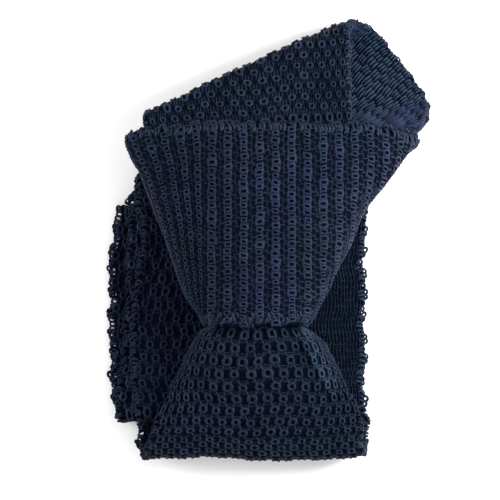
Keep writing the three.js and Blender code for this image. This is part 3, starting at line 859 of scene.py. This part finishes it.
# The laps' rings and the ladder take the darker yarn as painted shade.
blade_laps = put("blade_lap_stitches", [
    spread_cells(blade, plain, shares[shown], runs[shown], 1, 0.16, 0.08)], painted_shade_yarn)
blade_ladder = put("blade_ladder_stitches", [
    spread_cells(blade, ladder_cell(BLADE / WALES / 2, LADDER_L, 0.85), ladder_shares[right], ladder_runs[right], 1,
                 0.08, 0.05)], painted_shade_yarn)
blade_under = put("blade_under_stitches", [spread_cells(blade, plain, shares, runs, -1)], yarn)
blade_edges = put("blade_right_loops", edge_yarn(blade, 1.0, 1, 4.0, blade.length - 1, 5.15, 1.0,
                                                  bare=(roll_start - 0.5, climb_start + 1.0)), yarn)
# The left edge's yarn is darker as painted shade.
blade_left = put("blade_left_loops", edge_yarn(blade, 0.0, -1, 4.0, blade.length - 1, 5.15, 0.75)
                 + [end_yarn(blade, blade.length - 0.2)], left_edge_painted_shade_yarn)
declare(blade_ground, "front_blade", [blade_front, blade_laps, blade_ladder, blade_under, blade_edges, blade_left])

# The neck band: rings on the face, short side-by-side threads on the back
neck = neck_cloth()
v, f, area = ground_mesh(neck, GROUND, 2, 2)
neck_ground = new_object("neck_ground", v, f, under, np.zeros(len(v)))
rows = np.arange(2.0, neck.length, 3.0)
shares, runs = lattice(17, rows)
# The neck face's rings are darkened by 0.42 as painted shade.
neck_face = put("neck_face_stitches", [
    spread_cells(neck, comb_cell(2.9, 3.0, True), shares, runs, 1, 0.1, 0.08, None, 0.42)], yarn)
shares, runs = lattice(21, np.arange(2.0, neck.length, 2.55))
neck_back = put("neck_back_threads", [
    spread_cells(neck, bar_cell(2.5, 2.55, 0.32, 1.1, 0.2), shares, runs, -1, 0.14, 0.08)], reverse)
neck_edges = put("neck_edge_loops", edge_yarn(neck, 0.0, -1, 1.0, neck.length, 5.2, 0.8)
                 + edge_yarn(neck, 1.0, 1, 1.0, neck.length, 5.2, 0.8), yarn)
declare(neck_ground, "neck_band", [neck_face, neck_back, neck_edges])

# The knot wrap: ribs round it, a rolled edge at the top and the foot
knot, left_run = knot_cloth()
v, f, area = ground_mesh(knot, GROUND, 2, 2, ring=True)
knot_ground = new_object("knot_ground", v, f, under, np.zeros(len(v)))
RIBS, KNOT_A, KNOT_L = 29, 1.59, 3.75
shares, runs = lattice(RIBS, np.arange(left_run % KNOT_L + 0.2, knot.length, KNOT_L))
face, left = runs < 88.0, runs < left_run
# Painted shade: the knot's left side is darkened, away from the key light on the right.
shade = 0.45 * ease((left_run + 10 - runs) / 24)
right = face & ~left
knot_face = put("knot_face_stitches", [
    spread_cells(knot, rib_cell(KNOT_A, KNOT_L, True), shares[face], runs[face], 1, 0.18, 0.1, None, shade[face])], yarn)
# Painted shade in the gaps between ribs: the links on the left take the darker yarn, and those on the right are
# darkened by 0.4.
knot_left_links = put("knot_left_links", [
    spread_cells(knot, link_cell(KNOT_A, KNOT_L, 0.8, 0.25), shares[left], runs[left], 1, 0.16, 0.1)], painted_shade_yarn)
knot_right_links = put("knot_right_links", [
    spread_cells(knot, link_cell(KNOT_A, KNOT_L, 0.79, 0.23), shares[right], runs[right], 1, 0.16, 0.1, None, 0.4)], yarn)
knot_rear = put("knot_rear_stitches", [
    spread_cells(knot, rib_cell(KNOT_A, KNOT_L, False), shares[~face], runs[~face], 1)], yarn)
knot_edges = put("knot_edge_loops", edge_yarn(knot, 0.0, -1, 0.8, knot.length, 4.2, 0.9, 0.42)
                 + edge_yarn(knot, 0.985, 1, 0.8, knot.length, 4.2, 0.6, 0.37)
                 + edge_yarn(knot, 0.965, 1, 0.3, knot.length, 4.2, 0.6, 0.35), yarn)
knot_side = put("knot_side_threads", side_threads(), yarn)
declare(knot_ground, "knot_wrap", [knot_face, knot_left_links, knot_right_links, knot_rear,
                                                  knot_edges, knot_side])

# The narrow end, hidden behind the front lap
tail = tail_cloth()
v, f, area = ground_mesh(tail, GROUND, 2, 4)
tail_ground = new_object("tail_ground", v, f, under, np.zeros(len(v)))
shares, runs = lattice(12, np.arange(1.0, tail.length - 0.5, LADDER_L))
rung = ladder_cell(TAIL / 12, LADDER_L, 0.95)
tail_stitches = put("tail_stitches", [spread_cells(tail, rung, shares, runs, side) for side in (1, -1)], painted_shade_yarn)
declare(tail_ground, "tail_end", [tail_stitches])

# The knot's inner turns, hidden in the wrap
v, f = core_body()
core = new_object("knot_core_turns", v, f, painted_shade_yarn, np.full(len(v), 0.5))
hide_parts("knot_core")
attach(core, "root")

# Floor, light and camera
floor_mesh = bpy.data.meshes.new("floor")
size = 6.0
floor_mesh.from_pydata([(-size, -size, 0), (size, -size, 0), (size, size, 0), (-size, size, 0)], [], [(0, 1, 2, 3)])
floor = bpy.data.objects.new("floor", floor_mesh)
bpy.context.collection.objects.link(floor)
paper = bpy.data.materials.new("paper")
paper.use_nodes = True
paper.node_tree.nodes["Principled BSDF"].inputs["Base Color"].default_value = (0.97, 0.97, 0.97, 1)
paper.node_tree.nodes["Principled BSDF"].inputs["Roughness"].default_value = 0.9
floor_mesh.materials.append(paper)

world = bpy.data.worlds.new("soft_room")
bpy.context.scene.world = world
world.use_nodes = True
world.node_tree.nodes["Background"].inputs[0].default_value = (1, 1, 1, 1)
world.node_tree.nodes["Background"].inputs[1].default_value = 0.85
bpy.context.scene.view_settings.view_transform = "Standard"


def area_light(name, place, target, width, power):
    data = bpy.data.lights.new(name, "AREA")
    data.shape = "RECTANGLE"
    data.size, data.size_y = width
    data.energy = power
    lamp = bpy.data.objects.new(name, data)
    lamp.location = place
    lamp.rotation_mode = "QUATERNION"
    lamp.rotation_quaternion = (Vector(target) - Vector(place)).to_track_quat("-Z", "Y")
    bpy.context.collection.objects.link(lamp)


area_light("key", (0.21, 0.05, 0.14), (0, 0, 0.01), (0.12, 0.12), 1.4)
area_light("rim", (-0.6, 0.05, 0.2), (-0.04, 0, 0.01), (0.5, 0.3), 4.5)

PIXEL = 0.239 * MM
HEIGHT = 1.5
camera_data = bpy.data.cameras.new("camera")
camera = bpy.data.objects.new("camera", camera_data)
bpy.context.collection.objects.link(camera)
bpy.context.scene.camera = camera
camera_data.sensor_width = 36.0
camera_data.lens = 36.0 * (HEIGHT - 0.012) / (500 * PIXEL)
camera.location = (((250 - 270) * 0.239 - CENTRE[0]) * MM, ((240 - 250) * 0.239 - CENTRE[1]) * MM, HEIGHT)
camera.rotation_euler = (0, 0, 0)
camera_data.clip_start, camera_data.clip_end = 0.05, 20
